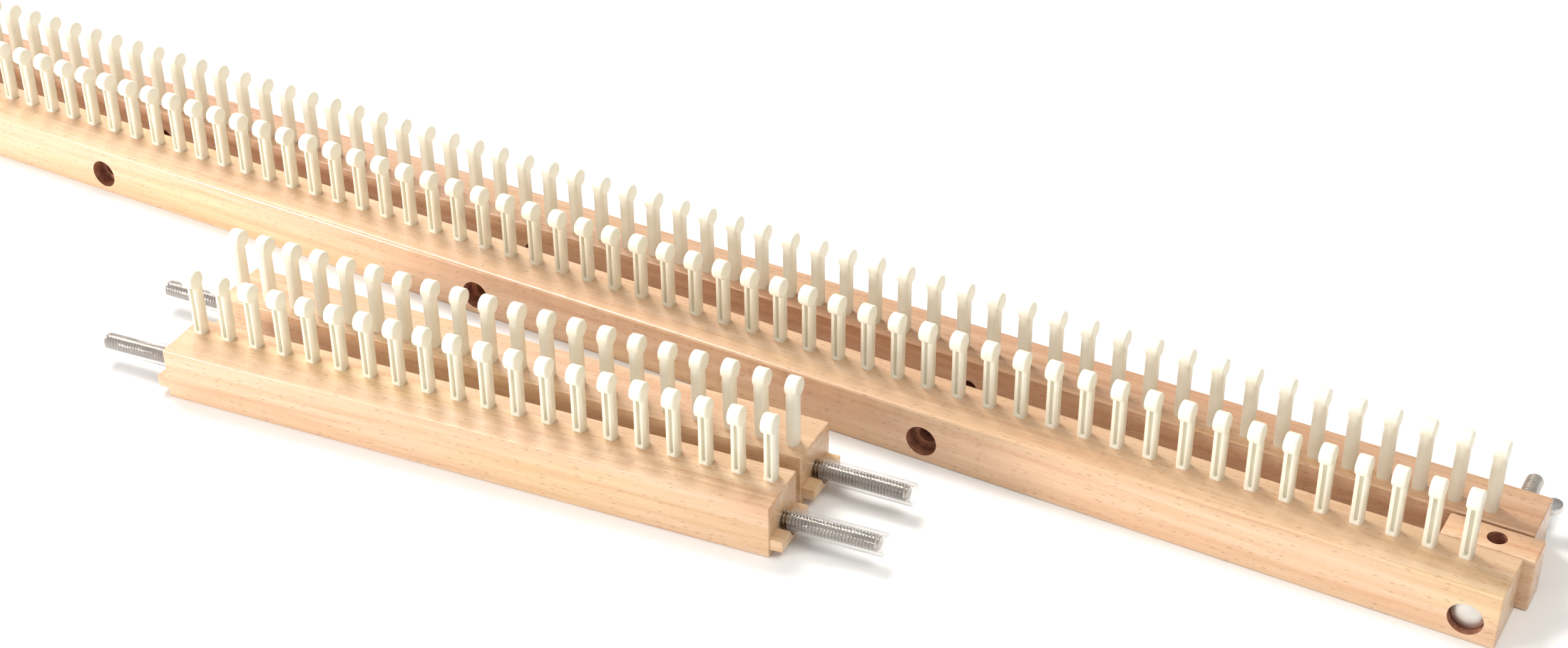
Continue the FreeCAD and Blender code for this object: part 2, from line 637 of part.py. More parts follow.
def make_sleeve(label, end, board):
    """A clear soft tube that covers the rod's thread."""
    body = new_body(label)
    ring = new_sketch(body, "YZ_Plane", label + "_ring")
    bore = dim("rod_radius") + dim("sleeve_clearance")
    add_circle(ring, "{rod_radius} + {sleeve_clearance} + {sleeve_wall}", "0", "0",
               bore + dim("sleeve_wall"), 0.0, 0.0)
    add_circle(ring, "{rod_radius} + {sleeve_clearance}", "0", "0", bore, 0.0, 0.0)
    new_pad(body, ring, label + "_tube", "{sleeve_end} - {sleeve_start}")
    body.Tip = body.Group[-1]
    set_in_end(body, end, board, extension_length / 2 + dim("sleeve_start"))
    return body


def set_in_end(body, end, board, start):
    """Lay a piece that is drawn along +X into one end of a board, pointing away from the board."""
    turn = 0.0 if end > 0 else 180.0
    spot = FreeCAD.Placement(FreeCAD.Vector(end * start, 0, dim("rod_height")),
                             FreeCAD.Rotation(FreeCAD.Vector(0, 0, 1), turn))
    body.Placement = board.Placement.multiply(spot)


def lay_extension_board(body, prefix):
    """Lay an extension board on the table at its own place and yaw."""
    body.Placement.Rotation = FreeCAD.Rotation(FreeCAD.Vector(0, 0, 1), dim(prefix + "_yaw"))
    bind(body, "Placement.Base.x", "{%s_x}" % prefix)
    bind(body, "Placement.Base.y", "{%s_y}" % prefix)
    doc.recompute()


# ---------------------------------------------------------------------------------------------
# Assembly
# ---------------------------------------------------------------------------------------------
nodes = []
front_board = make_front_board()
rear_board = make_rear_board()
doc.recompute()
single_peg = make_peg()
nodes += [front_board, rear_board]
nodes.append(make_peg_row("front_pegs", single_peg, int(dim("main_peg_count")), 1, front_board.Placement))
nodes.append(make_peg_row("rear_pegs", single_peg, int(dim("main_peg_count")), -1, rear_board.Placement))

for side_name, end in (("right", 1), ("left", -1)):
    nodes.append(make_bolt(side_name + "_carriage_bolt", end))
    nodes.append(make_wing_nut(side_name + "_wing_nut", end))
    nodes.append(make_spacer(side_name + "_spacer_block", end))

for board_name, side in (("extension_front", 1), ("extension_rear", -1)):
    board = make_extension_board(board_name + "_board", side)
    lay_extension_board(board, board_name)
    nodes.append(board)
    nodes.append(make_peg_row(board_name + "_pegs", single_peg, int(dim("extension_peg_count")), side,
                              board.Placement))
    for side_name, end in (("right", 1), ("left", -1)):
        nodes.append(make_rod("%s_%s_rod" % (board_name, side_name), end, board))
        nodes.append(make_sleeve("%s_%s_sleeve" % (board_name, side_name), end, board))

doc.recompute()
for item in doc.Objects:
    if "Invalid" in item.State or "Error" in item.State:
        raise RuntimeError("%s did not compute" % item.Label)
for node in nodes:
    if node.Shape.isNull() or not node.Shape.isValid():
        raise RuntimeError("%s has no valid shape" % node.Label)
    node.Shape.exportStep("parts/%s.step" % node.Label)
print("%d nodes" % len(nodes))
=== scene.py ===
import json
import math

import bmesh
import bpy
from mathutils import Matrix, Vector


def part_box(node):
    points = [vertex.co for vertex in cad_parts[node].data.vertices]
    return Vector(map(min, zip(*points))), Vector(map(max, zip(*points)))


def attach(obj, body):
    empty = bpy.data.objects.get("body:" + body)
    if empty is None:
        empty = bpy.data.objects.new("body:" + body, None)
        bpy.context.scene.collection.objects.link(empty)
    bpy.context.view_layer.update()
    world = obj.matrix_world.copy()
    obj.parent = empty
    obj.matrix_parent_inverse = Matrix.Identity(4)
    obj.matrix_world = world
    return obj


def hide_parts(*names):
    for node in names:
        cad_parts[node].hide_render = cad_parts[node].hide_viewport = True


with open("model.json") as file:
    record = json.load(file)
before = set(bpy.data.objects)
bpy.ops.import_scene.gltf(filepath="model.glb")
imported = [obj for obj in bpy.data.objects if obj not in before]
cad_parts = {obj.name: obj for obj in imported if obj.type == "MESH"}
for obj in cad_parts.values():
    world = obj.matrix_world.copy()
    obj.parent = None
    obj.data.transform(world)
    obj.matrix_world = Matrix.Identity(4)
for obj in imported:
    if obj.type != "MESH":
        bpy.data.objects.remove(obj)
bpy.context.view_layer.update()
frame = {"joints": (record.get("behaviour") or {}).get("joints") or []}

MM = 0.001
INCH = 25.4 * MM

# ---------------------------------------------------------------------------------------------
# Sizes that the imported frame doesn't list one by one
# ---------------------------------------------------------------------------------------------
PEG_PITCH = 0.5 * INCH
PEG_ROW_SETBACK = 7.2 * MM
PEG_WIDTH = 4.8 * MM
PEG_DEPTH = 5.2 * MM
PEG_FRONT_CORNER = 1.4 * MM
PEG_BACK_CORNER = 2.1 * MM
PEG_HEAD_RADIUS = 3.8 * MM
PEG_HEAD_WIDTH = 4.9 * MM
PEG_HEAD_HEIGHT = 24.3 * MM
PEG_HEAD_FORWARD = 1.2 * MM
PEG_HEAD_RIM = 0.7 * MM
PEG_GROOVE_WIDTH = 1.5 * MM
PEG_GROOVE_DEPTH = 1.6 * MM
PEG_GROOVE_FOOT = 1.3 * MM
PEG_GROOVE_STOP = 0.86  # how far below the head's middle the groove ends, as a share of the head's radius
PEG_SEAT = 0.4          # how far the visible shaft runs into its hole, in millimetres
PEG_EDGE = 0.25         # the rounding of its moulded edges, in millimetres
MAIN_PEGS = 64
EXTENSION_PEGS = 20

OUTER_EDGE = 1.6 * MM
BOARD_EDGE = 0.6 * MM
BOARD_END = 0.5 * MM
BOLT_HOLE_RADIUS = 3.5 * MM
COUNTERBORE_RADIUS = 6.2 * MM
COUNTERBORE_DEPTH = 5.5 * MM
BOLT_STATION_STEP = 16 * PEG_PITCH
BOLT_STATIONS = 5
BOLT_HEAD_RADIUS = 5.9 * MM
BOLT_HEAD_RISE = 3.6 * MM
BOLT_HEAD_RIM = 2.4 * MM
HEAD_EDGE = 0.35 * MM
HEAD_CHAMFER = 0.15 * MM
SHANK_SEAT = 0.2 * MM
SHANK_PLAIN = 38 * MM
SPACER_EDGE = 1.0 * MM

THREAD_RADIUS = 0.125 * INCH
THREAD_PITCH = INCH / 20
THREAD_DEPTH = 0.75 * MM
THREAD_CHAMFER = 0.8 * MM
THREAD_STEPS = 36       # mesh steps in one turn of the thread

NUT_HEIGHT = 8.0 * MM
NUT_PROFILE = (         # the hub's outside as (height, radius), from its seating face to its outer face
    (0.0, 5.9 * MM), (0.3 * MM, 6.2 * MM), (1.6 * MM, 6.2 * MM),
    (NUT_HEIGHT - 0.5 * MM, 5.0 * MM), (NUT_HEIGHT, 4.5 * MM),
)
WING_ROOT_LOW = (3.0 * MM, 0.6 * MM)
WING_ROOT_HIGH = (2.4 * MM, 6.6 * MM)
WING_REACH = 13.9 * MM
WING_TOP = 12.2 * MM
WING_LOBE = 4.4 * MM
WING_HALF_THICKNESS = 1.1 * MM
NUT_VOXEL = 0.22 * MM
NUT_CLEARANCE = 0.05 * MM
NUT_TURN = -14.0        # how the wings stand at rest, in degrees about the bolt

TONGUE_REACH = 5.0 * MM
TONGUE_BASE = 3.3 * MM
TONGUE_TOP = 8.0 * MM
TONGUE_EDGE = 0.5 * MM
ROD_DEPTH = 28 * MM
ROD_REACH = 37 * MM
ROD_THREAD_DEPTH = 27 * MM
ROD_HOLE_CLEARANCE = 0.02 * MM
SLEEVE_BORE = THREAD_RADIUS + 0.06 * MM
SLEEVE_WALL = 1.2 * MM
SLEEVE_START = 3.2 * MM
SLEEVE_STOP = 39.0 * MM
SLEEVE_LIP = 0.2 * MM
SLEEVE_SEAT_CLEARANCE = 0.4 * MM

# ---------------------------------------------------------------------------------------------
# The studio: floor, surroundings and camera
# ---------------------------------------------------------------------------------------------
FLOOR_HALF = 6.0
FLOOR_THICKNESS = 0.02
WORLD_BEHIND = 0.18     # the studio is darker behind the loom than in front of it
WORLD_IN_FRONT = 0.88
WORLD_FRONT = Vector((-0.35, -0.90, -0.15)).normalized()     # where the surroundings are brightest

CAMERA_LOCATION = (0.5144, -0.6452, 0.5249)
CAMERA_RIGHT = Vector((0.86596, 0.50006, -0.00701))
CAMERA_UP = Vector((-0.26101, 0.46386, 0.84658))
CAMERA_LENS = 54.08
CAMERA_SHIFT_UP = -0.0324


# ---------------------------------------------------------------------------------------------
# Mesh helpers
# ---------------------------------------------------------------------------------------------
def to_object(name, mesh_data, materials):
    """Link a bmesh or a (points, faces) pair as an object."""
    mesh = bpy.data.meshes.new(name)
    if isinstance(mesh_data, bmesh.types.BMesh):
        mesh_data.to_mesh(mesh)
        mesh_data.free()
    else:
        points, faces = mesh_data
        mesh.from_pydata(points, [], faces)
    for material in materials:
        mesh.materials.append(material)
    obj = bpy.data.objects.new(name, mesh)
    bpy.context.scene.collection.objects.link(obj)
    return obj


def bake_modifiers(obj):
    """Replace an object's mesh with its evaluated mesh and drop the modifiers."""
    bpy.context.view_layer.update()
    graph = bpy.context.evaluated_depsgraph_get()
    mesh = bpy.data.meshes.new_from_object(
        obj.evaluated_get(graph), preserve_all_data_layers=True, depsgraph=graph)
    obj.modifiers.clear()
    old = obj.data
    obj.data = mesh
    bpy.data.meshes.remove(old)
    return obj


def combine(obj, others, operation):
    """Union or difference with other objects, which are used up."""
    for other in others:
        modifier = obj.modifiers.new("combine", "BOOLEAN")
        modifier.operation = operation
        modifier.solver = "EXACT"
        modifier.material_mode = "TRANSFER"
        modifier.object = other
    bake_modifiers(obj)
    for other in others:
        bpy.data.objects.remove(other)
    return obj


def round_off(obj, width, segments, angle=35):
    """Bevel every edge that is sharper than an angle."""
    modifier = obj.modifiers.new("round", "BEVEL")
    modifier.width = width
    modifier.segments = segments
    modifier.limit_method = "ANGLE"
    modifier.angle_limit = math.radians(angle)
    modifier.use_clamp_overlap = True
    return bake_modifiers(obj)


def smooth(obj, angle):
    """Shade smooth, with edges sharper than an angle kept crisp."""
    work = bmesh.new()
    work.from_mesh(obj.data)
    for face in work.faces:
        face.smooth = True
    for edge in work.edges:
        edge.smooth = not (edge.is_manifold and edge.calc_face_angle(0.0) > math.radians(angle))
    work.to_mesh(obj.data)
    work.free()


def place(obj, matrix):
    """Move the mesh itself, and leave the object's own axes at the origin."""
    obj.data.transform(matrix)
    return obj


def block(name, low, high, materials):
    """A box from its two corners."""
    work = bmesh.new()
    bmesh.ops.create_cube(work, size=1.0)
    size = Vector(high) - Vector(low)
    centre = (Vector(high) + Vector(low)) / 2
    bmesh.ops.scale(work, vec=size, verts=work.verts)
    bmesh.ops.translate(work, vec=centre, verts=work.verts)
    return to_object(name, work, materials)


def prism(name, outline, low, high, materials):
    """Extrude a closed (x, y) outline from z = low to z = high."""
    count = len(outline)
    points = [(x, y, low) for x, y in outline] + [(x, y, high) for x, y in outline]
    faces = [tuple(reversed(range(count))), tuple(range(count, 2 * count))]
    faces += [(i, (i + 1) % count, count + (i + 1) % count, count + i) for i in range(count)]
    return to_object(name, (points, faces), materials)


def turned(name, profile, steps, materials):
    """Turn an (axial, radius) profile about the X axis; its ends close on the axis."""
    inner = [(a, r) for a, r in profile if r > 1e-9]
    points = []
    for axial, radius in inner:
        for step in range(steps):
            turn = 2 * math.pi * step / steps
            points.append((axial, radius * math.cos(turn), radius * math.sin(turn)))
    faces = []
    for ring in range(len(inner) - 1):
        for step in range(steps):
            a = ring * steps + step
            b = ring * steps + (step + 1) % steps
            faces.append((a, b, b + steps, a + steps))
    first, last = len(points), len(points) + 1
    points += [(profile[0][0], 0, 0), (profile[-1][0], 0, 0)]
    end = (len(inner) - 1) * steps
    for step in range(steps):
        after = (step + 1) % steps
        faces.append((first, after, step))
        faces.append((last, end + step, end + after))
    return face_outwards(to_object(name, (points, faces), materials))


def face_outwards(obj):
    """Make every face of a closed mesh point outwards."""
    work = bmesh.new()
    work.from_mesh(obj.data)
    bmesh.ops.recalc_face_normals(work, faces=work.faces)
    work.to_mesh(obj.data)
    work.free()
    return obj


def arc(centre, radius, start, end, steps):
    """Points on an arc, angles in degrees."""
    turns = [math.radians(start + (end - start) * step / steps) for step in range(steps + 1)]
    return [(centre[0] + radius * math.cos(t), centre[1] + radius * math.sin(t)) for t in turns]


def rounded_outline(low, high, corners, steps):
    """A rectangle whose corners (++, -+, --, +-) each have their own radius."""
    outline = []
    for index, (sign_x, sign_y) in enumerate(((1, 1), (-1, 1), (-1, -1), (1, -1))):
        radius = corners[index]
        centre = ((high[0] - radius) if sign_x > 0 else (low[0] + radius),
                  (high[1] - radius) if sign_y > 0 else (low[1] + radius))
        outline += arc(centre, radius, 90 * index, 90 * index + 90, steps)
    return outline


def rod_along_y(name, radius, low, high, x, z, materials, steps=48):
    """A plain cylinder along Y, used as a drill."""
    drill = turned(name, [(low, 0), (low, radius), (high, radius), (high, 0)], steps, materials)
    swap = Matrix(((0, -1, 0, x), (1, 0, 0, 0), (0, 0, 1, z), (0, 0, 0, 1)))
    return place(drill, swap)


def rod_along_x(name, radius, low, high, z, materials, steps=48):
    """A plain cylinder along X at the middle of a board's width, used as a drill."""
    drill = turned(name, [(low, 0), (low, radius), (high, radius), (high, 0)], steps, materials)
    return place(drill, Matrix.Translation((0, 0, z)))


def rim_edges(work, x):
    """The open edges of a bar along X that lie in the plane at x."""
    return [edge for edge in work.edges if edge.is_boundary
            and all(abs(vertex.co.x - x) < 1e-5 for vertex in edge.verts)]


def threaded_bar(name, start, end, thread_from, materials):
    """A bar along X with a right-hand helical thread from thread_from to end.

    The section gives one pitch of the thread as (share of the pitch, share of the thread's depth).
    """
    section = ((0.0, 1.0), (0.10, 1.0), (0.42, 0.0), (0.56, 0.0), (0.90, 1.0))
    steps = THREAD_STEPS
    root = THREAD_RADIUS - THREAD_DEPTH
    turns = math.ceil((end - thread_from) / THREAD_PITCH) + 2
    width = len(section)
    points = []
    for step in range(turns * steps + 1):
        turn = 2 * math.pi * step / steps
        base = thread_from + THREAD_PITCH * (step / steps - 1.0)
        for share, crest in section:
            axial = base + share * THREAD_PITCH
            radius = root + crest * THREAD_DEPTH
            fade = max(0.0, min(1.0, (axial - thread_from) / (2 * THREAD_PITCH)))
            radius = THREAD_RADIUS * (1 - fade) + radius * fade
            axial = min(max(axial, thread_from), end)
            radius = min(radius, THREAD_RADIUS - THREAD_CHAMFER + (end - axial))
            points.append((axial, radius * math.cos(turn), radius * math.sin(turn)))
    faces = []
    rows = turns * steps
    for row in range(rows):
        for column in range(width - 1):
            a = row * width + column
            faces.append((a, a + 1, a + 1 + width, a + width))
        if row + steps < rows:
            a = row * width + width - 1
            b = (row + steps) * width
            faces.append((a, b, b + width, a + width))
    work = bmesh.new()
    vertices = [work.verts.new(point) for point in points]
    for face in faces:
        work.faces.new([vertices[i] for i in face])
    bmesh.ops.remove_doubles(work, verts=work.verts, dist=1e-6)
    bmesh.ops.dissolve_degenerate(work, dist=1e-6, edges=work.edges)
    grown = bmesh.ops.extrude_edge_only(work, edges=rim_edges(work, thread_from))
    for item in grown["geom"]:
        if isinstance(item, bmesh.types.BMVert):
            item.co.x = start
    for x in (start, end):
        bmesh.ops.holes_fill(work, edges=rim_edges(work, x), sides=0)
    bmesh.ops.recalc_face_normals(work, faces=work.faces)
    return to_object(name, work, materials)


# ---------------------------------------------------------------------------------------------
# Materials
# ---------------------------------------------------------------------------------------------
class Nodes:
    """A short way to write a node tree."""

    def __init__(self, name):
        self.material = bpy.data.materials.new(name)
        self.material.use_nodes = True
        self.tree = self.material.node_tree
        self.shader = self.tree.nodes["Principled BSDF"]

    def add(self, kind, inputs=None, **settings):
        """Add a node; inputs are values or sockets by name, settings are the node's own attributes."""
        node = self.tree.nodes.new(kind)
        for key, value in settings.items():
            setattr(node, key, value)
        for key, value in (inputs or {}).items():
            self.feed(value, node.inputs[key])
        return node

    def feed(self, value, socket):
        """Link a socket to another one, or set it to a value."""
        if isinstance(value, bpy.types.NodeSocket):
            self.tree.links.new(value, socket)
        else:
            socket.default_value = value

    def noise(self, coordinates, stretch, detail, roughness, offset=(0, 0, 0), distortion=0.0):
        """Noise with its features stretched by the given lengths, in metres."""
        mapping = self.add("ShaderNodeMapping", {
            "Vector": coordinates, "Location": offset, "Scale": tuple(1 / length for length in stretch)})
        return self.add("ShaderNodeTexNoise", {
            "Vector": mapping.outputs["Vector"], "Scale": 1.0, "Detail": detail, "Roughness": roughness,
            "Distortion": distortion}).outputs["Fac"]

    def flecks(self, coordinates, cell, offset, kept):
        """Short dashes along X, one at most in each cell of the given size; kept is the share shown."""
        mapping = self.add("ShaderNodeMapping", {
            "Vector": coordinates, "Location": offset, "Scale": tuple(1 / length for length in cell)})
        cells = self.add("ShaderNodeTexVoronoi", {"Vector": mapping.outputs["Vector"], "Scale": 1.0})
        dash = self.ramp(cells.outputs["Distance"], [(0.12, grey(1.0)), (0.27, grey(0.0))])
        chance = self.add("ShaderNodeSeparateColor", {"Color": cells.outputs["Color"]}).outputs["Red"]
        shown = self.maths("LESS_THAN", chance, kept)
        return self.maths("MULTIPLY", dash, shown)

    def ramp(self, value, stops):
        """A colour ramp from (position, colour) stops."""
        node = self.add("ShaderNodeValToRGB", {"Fac": value})
        elements = node.color_ramp.elements
        while len(elements) < len(stops):
            elements.new(0.5)
        for element, (position, colour) in zip(elements, stops):
            element.position = position
            element.color = (*colour, 1.0)
        return node.outputs["Color"]

    def mix(self, share, first, second, blend="MIX"):
        node = self.add("ShaderNodeMix", data_type="RGBA", blend_type=blend)
        self.feed(share, node.inputs["Factor"])
        for value, socket in ((first, node.inputs[6]), (second, node.inputs[7])):
            self.feed(value if isinstance(value, bpy.types.NodeSocket) else (*value, 1.0), socket)
        return node.outputs[2]

    def maths(self, operation, first, second):
        node = self.add("ShaderNodeMath", operation=operation)
        self.feed(first, node.inputs[0])
        self.feed(second, node.inputs[1])
        return node.outputs[0]

    def bump(self, height, strength, distance):
        return self.add("ShaderNodeBump", {
            "Height": height, "Strength": strength, "Distance": distance}).outputs["Normal"]

    def coordinates(self):
        return self.add("ShaderNodeTexCoord").outputs["Object"]


def grey(level):
    return (level, level, level)


def make_wood(name, light, middle, dark, fleck, offset):
    """Steamed beech: soft streaks, pinkish and yellowish stretches, and short dark flecks along X."""
    nodes = Nodes(name)
    log = nodes.coordinates()
    streaks = nodes.noise(log, (0.110, 0.0034, 0.0038), 4.0, 0.55, offset, 0.4)
    stretches = nodes.noise(log, (0.160, 0.020, 0.022), 2.0, 0.5, tuple(o + 7 for o in offset))
    fine = nodes.noise(log, (0.022, 0.00065, 0.00075), 3.0, 0.65, tuple(o + 3 for o in offset))
    colour = nodes.ramp(streaks, [(0.30, dark), (0.50, middle), (0.70, light)])
    tint = nodes.ramp(stretches, [(0.36, (1.01, 0.94, 0.92)), (0.52, grey(1.0)), (0.68, (1.02, 1.02, 0.90))])
    colour = nodes.mix(1.0, colour, tint, "MULTIPLY")
    grain = nodes.ramp(fine, [(0.30, grey(0.90)), (0.52, grey(1.0)), (0.74, grey(1.04))])
    colour = nodes.mix(1.0, colour, grain, "MULTIPLY")
    share = nodes.flecks(log, (0.0048, 0.00085, 0.00090), offset, 0.50)
    small = nodes.flecks(log, (0.0030, 0.00050, 0.00055), tuple(o + 13 for o in offset), 0.50)
    share = nodes.maths("MAXIMUM", share, nodes.maths("MULTIPLY", small, 0.5))
    colour = nodes.mix(nodes.maths("MULTIPLY", share, 0.58), colour, fleck)
    nodes.feed(colour, nodes.shader.inputs["Base Color"])
    nodes.feed(nodes.ramp(fine, [(0.3, grey(0.60)), (0.7, grey(0.50))]), nodes.shader.inputs["Roughness"])
    height = nodes.maths("SUBTRACT", fine, share)
    nodes.feed(nodes.bump(height, 0.25, 0.00006), nodes.shader.inputs["Normal"])
    nodes.shader.inputs["Specular IOR Level"].default_value = 0.45
    nodes.shader.inputs["Coat Weight"].default_value = 0.75
    nodes.shader.inputs["Coat Roughness"].default_value = 0.22
    return nodes.material


def make_shaded_hole_wood(name):
    """The torn wall of a drilled hole, coloured dark brown: darker wood with painted shade for the inside of
    the hole.
    """
    nodes = Nodes(name)
    log = nodes.coordinates()
    rings = nodes.noise(log, (0.0016, 0.0009, 0.0009), 3.0, 0.6)
    # Patchy darkening, part of the painted shade inside the hole.
    shade_patches = nodes.noise(log, (0.0035, 0.0035, 0.0035), 2.0, 0.5)
    # Dark browns: partly the wood's own colour, partly painted shade for the inside of the hole.
    colour = nodes.ramp(rings, [(0.3, (0.27, 0.095, 0.052)), (0.7, (0.50, 0.215, 0.125))])
    shade = nodes.ramp(shade_patches, [(0.35, grey(0.6)), (0.65, grey(1.0))])
    nodes.feed(nodes.mix(1.0, colour, shade, "MULTIPLY"), nodes.shader.inputs["Base Color"])
    nodes.feed(nodes.bump(rings, 0.5, 0.0002), nodes.shader.inputs["Normal"])
    nodes.shader.inputs["Roughness"].default_value = 0.8
    return nodes.material


def make_peg_plastic(name):
    """Ivory moulded plastic with a faint uneven sheen."""
    nodes = Nodes(name)
    spot = nodes.coordinates()
    cloud = nodes.noise(spot, (0.030, 0.030, 0.012), 2.0, 0.5)
    texture = nodes.noise(spot, (0.0011, 0.0011, 0.0016), 2.0, 0.6)
    colour = nodes.ramp(cloud, [(0.35, (0.79, 0.755, 0.625)), (0.65, (0.84, 0.81, 0.69))])
    nodes.feed(colour, nodes.shader.inputs["Base Color"])
    gloss = nodes.ramp(texture, [(0.3, grey(0.36)), (0.7, grey(0.44))])
    nodes.feed(gloss, nodes.shader.inputs["Roughness"])
    nodes.feed(nodes.bump(texture, 0.12, 0.00005), nodes.shader.inputs["Normal"])
    nodes.shader.inputs["Subsurface Weight"].default_value = 0.18
    nodes.shader.inputs["Subsurface Radius"].default_value = (1.0, 0.75, 0.45)
    nodes.shader.inputs["Subsurface Scale"].default_value = 0.0012
    return nodes.material


def make_steel(name, light, dark, roughness):
    """Zinc-plated steel, slightly mottled."""
    nodes = Nodes(name)
    spot = nodes.coordinates()
    mottle = nodes.noise(spot, (0.0060, 0.0060, 0.0060), 2.0, 0.5)
    grain = nodes.noise(spot, (0.0004, 0.0004, 0.0004), 2.0, 0.6)
    nodes.feed(nodes.ramp(mottle, [(0.35, dark), (0.65, light)]), nodes.shader.inputs["Base Color"])
    gloss = nodes.ramp(mottle, [(0.3, grey(roughness - 0.06)), (0.7, grey(roughness + 0.08))])
    nodes.feed(gloss, nodes.shader.inputs["Roughness"])
    nodes.feed(nodes.bump(grain, 0.05, 0.00002), nodes.shader.inputs["Normal"])
    nodes.shader.inputs["Metallic"].default_value = 1.0
    return nodes.material


def make_clear_plastic(name):
    """Thin clear soft tube: see-through face on, more solid along its edges, with a faint haze; its mid-grey
    colour, which shows most along the edges, is painted shade for the tube's dark edges.
    """
    nodes = Nodes(name)
    spot = nodes.coordinates()
    haze = nodes.noise(spot, (0.009, 0.003, 0.003), 2.0, 0.5)
    nodes.feed(nodes.ramp(haze, [(0.3, grey(0.06)), (0.7, grey(0.14))]), nodes.shader.inputs["Roughness"])
    # Mid-grey colour: painted shade that darkens the tube's edges against the pale floor.
    nodes.feed(nodes.ramp(haze, [(0.3, (0.52, 0.49, 0.47)), (0.7, (0.60, 0.58, 0.56))]),
               nodes.shader.inputs["Base Color"])
    edge = nodes.add("ShaderNodeLayerWeight", {"Blend": 0.35}).outputs["Facing"]
    painted_edge_shade = nodes.ramp(edge, [(0.20, grey(0.14)), (0.55, grey(0.34)), (0.90, grey(0.85))])
    nodes.feed(painted_edge_shade, nodes.shader.inputs["Alpha"])
    nodes.feed(nodes.bump(haze, 0.15, 0.0002), nodes.shader.inputs["Normal"])
    nodes.shader.inputs["IOR"].default_value = 1.45
    nodes.shader.inputs["Specular IOR Level"].default_value = 0.9
    return nodes.material


def make_floor_paint(name):
    """Matt near-white paint, very slightly uneven."""
    nodes = Nodes(name)
    spot = nodes.coordinates()
    cloud = nodes.noise(spot, (0.4, 0.4, 0.4), 2.0, 0.5)
    nodes.feed(nodes.ramp(cloud, [(0.3, (0.90, 0.90, 0.90)), (0.7, (0.92, 0.92, 0.92))]),
               nodes.shader.inputs["Base Color"])
    nodes.shader.inputs["Roughness"].default_value = 0.85
    nodes.shader.inputs["Specular IOR Level"].default_value = 0.1
    return nodes.material


# Each wood as its light, middle, dark and fleck colours.
BEECH = ((0.70, 0.490, 0.325), (0.65, 0.425, 0.258), (0.58, 0.342, 0.195), (0.28, 0.120, 0.060))
# The rear board's beech is darker and redder than the others: partly its own tone, partly painted shade for
# the shade that falls on the rear board.
SHADED_RED_BEECH = ((0.62, 0.400, 0.260), (0.56, 0.335, 0.200), (0.48, 0.265, 0.145), (0.24, 0.095, 0.050))
BOARD_TONES = {
    "front_board": BEECH, "rear_board": SHADED_RED_BEECH, "extension_front_board": BEECH,
    "extension_rear_board": BEECH, "right_spacer_block": BEECH, "left_spacer_block": BEECH,
}
board_woods = {}
for index, (node, tones) in enumerate(BOARD_TONES.items()):
    board_woods[node] = make_wood("beech_" + node, *tones, (index * 5.3, index * 2.1, 0))
shaded_hole_wood = make_shaded_hole_wood("drilled_beech_painted_shade")
peg_plastic = make_peg_plastic("ivory_plastic")
bolt_steel = make_steel("bolt_steel", (0.70, 0.67, 0.63), (0.62, 0.59, 0.55), 0.40)
nut_steel = make_steel("nut_zinc", (0.70, 0.68, 0.65), (0.60, 0.58, 0.55), 0.30)
# The rods' steel is darker and browner than the bolt's: partly its own steel, partly painted reflection of
# the wood and of dark surroundings.
reflection_tinted_rod_steel = make_steel("reflection_tinted_rod_steel", (0.50, 0.46, 0.41), (0.43, 0.39, 0.35), 0.16)
clear_plastic = make_clear_plastic("clear_tube_plastic")


# ---------------------------------------------------------------------------------------------
# Where things are, read from the frame
# ---------------------------------------------------------------------------------------------
def joint(name):
    return next(item for item in frame["joints"] if item["name"] == name)


def board_matrix(node):
    """A board's own axes: X along it, Z up, its origin at the middle of its underside."""
    low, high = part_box(node)
    middle = (low + high) / 2
    turn = 0.0
    if node.startswith("extension"):
        along = joint(node.replace("_board", "_right_sleeve_pull"))["axis"]
        turn = math.atan2(along[1], along[0])
    return Matrix.Translation((middle.x, middle.y, low.z)) @ Matrix.Rotation(turn, 4, "Z")


def hinge_point(name):
    return Vector(joint(name)["pos_m"])


board_low, board_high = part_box("front_board")
BOARD_WIDTH = board_high.y - board_low.y
BOARD_HEIGHT = board_high.z - board_low.z
MAIN_LENGTH = board_high.x - board_low.x
BOLT_HEIGHT = hinge_point("right_wing_nut_spin").z
rod_low, rod_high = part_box("extension_front_right_rod")
ROD_HEIGHT = (rod_low.z + rod_high.z) / 2
EXTENSION_LENGTH = EXTENSION_PEGS * PEG_PITCH


def finish_piece(obj, body, node):
    """Attach a piece to the empty of the body it rides on, and hide the CAD node that it stands in for."""
    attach(obj, body)
    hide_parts(node)


